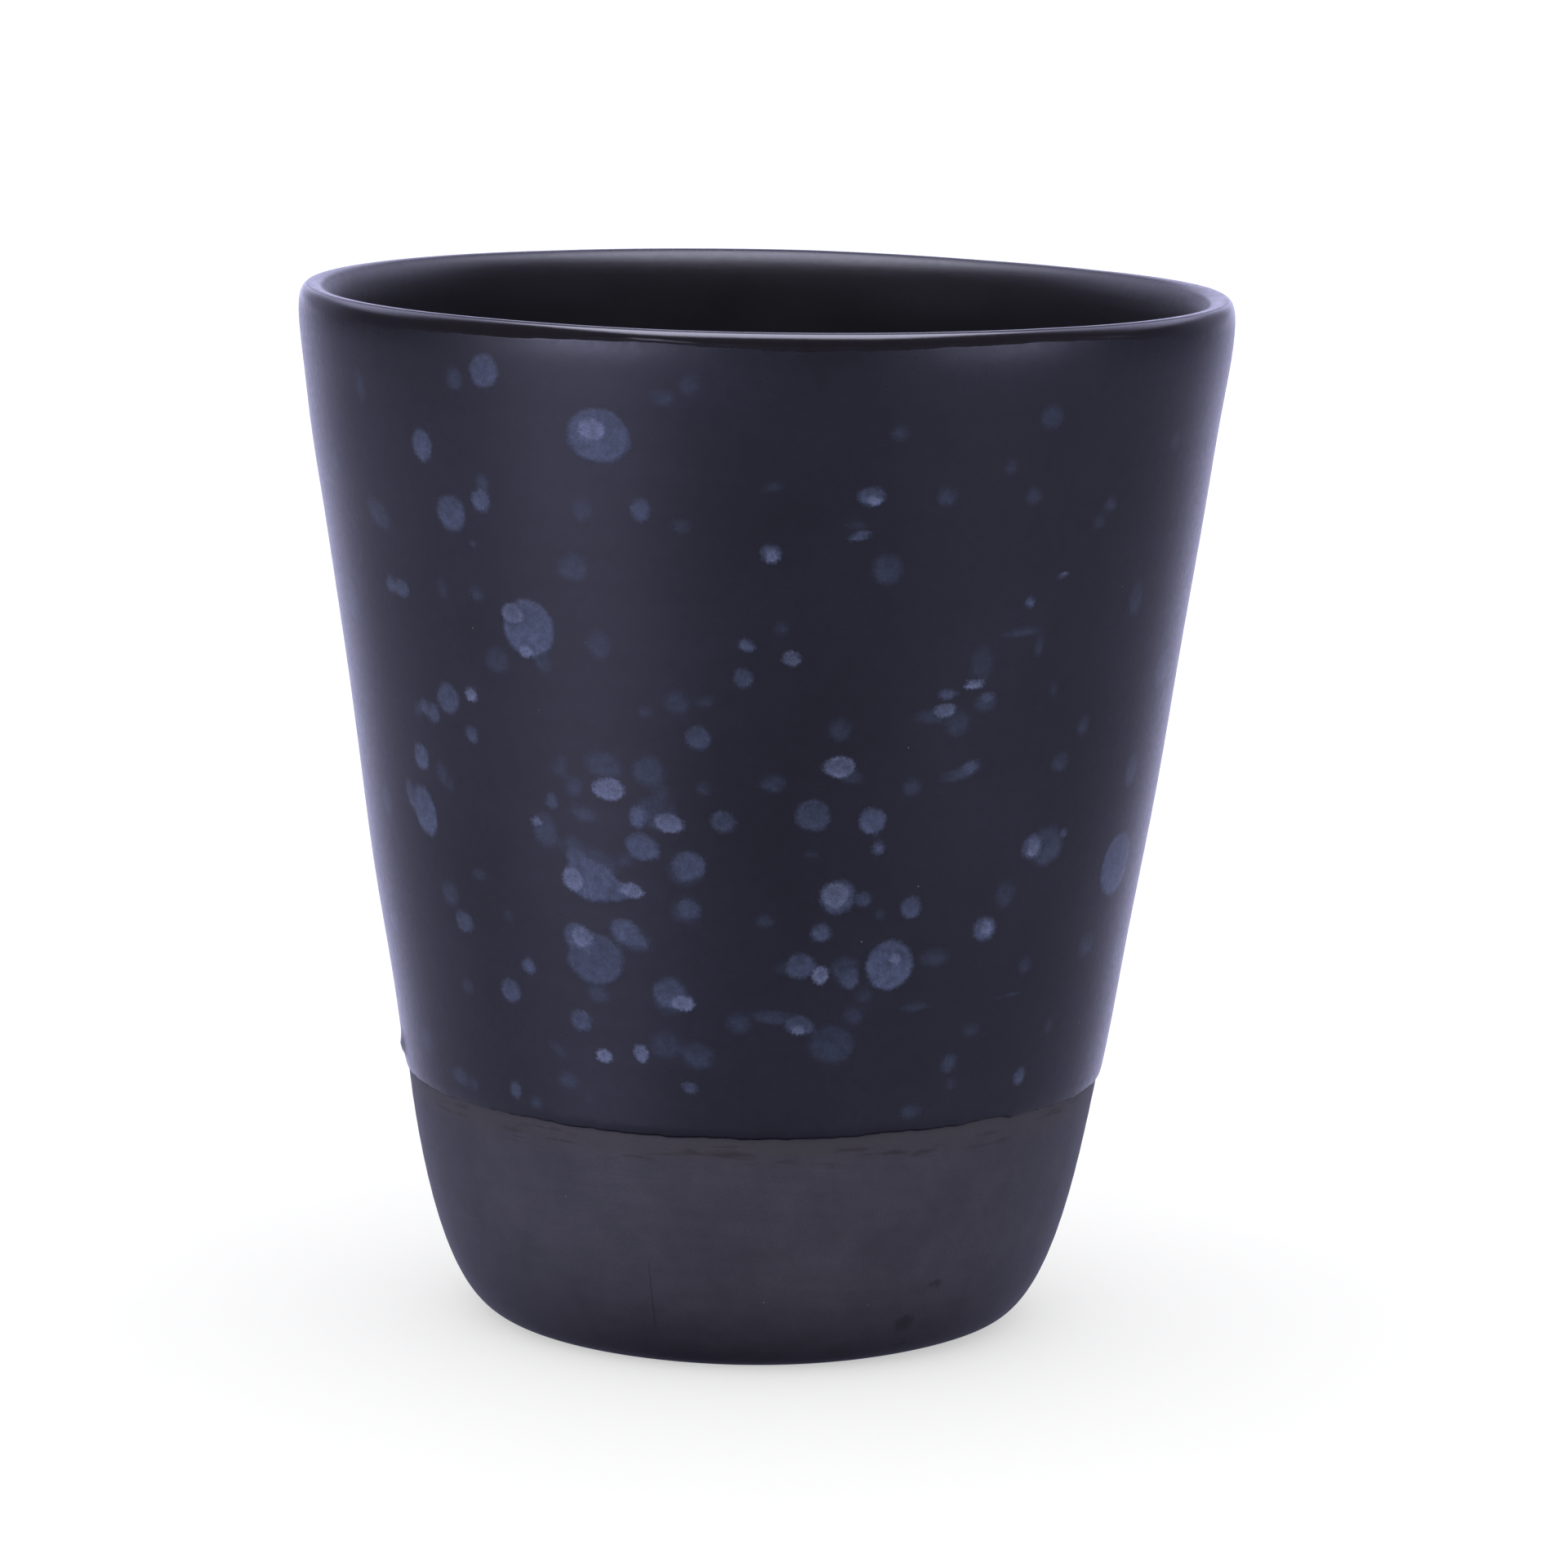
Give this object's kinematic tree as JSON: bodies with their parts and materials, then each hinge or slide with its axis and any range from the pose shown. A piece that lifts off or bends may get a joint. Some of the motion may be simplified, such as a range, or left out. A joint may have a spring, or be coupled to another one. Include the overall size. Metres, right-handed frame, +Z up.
{
  "type": "ceramic mug",
  "caption": "Handleless tapering stoneware mug with a speckled satin glaze outside, a plain dark glaze inside and a bare clay foot.",
  "frame": {"origin": "centre of the base circle, on the plane that the mug stands on", "axes": "+Z up along the turning axis; -Y towards the viewer and +X to the viewer's right"},
  "size_m": [0.0898, 0.0898, 0.1],
  "materials": {
    "bare_clay": "matte",
    "blue_black_glaze": "satin",
    "black_glaze": "satin"
  },
  "bodies": {
    "root": {"clay_body": "bare_clay", "outer_glaze": "blue_black_glaze", "inner_glaze": "black_glaze"}
  },
  "joints": []
}
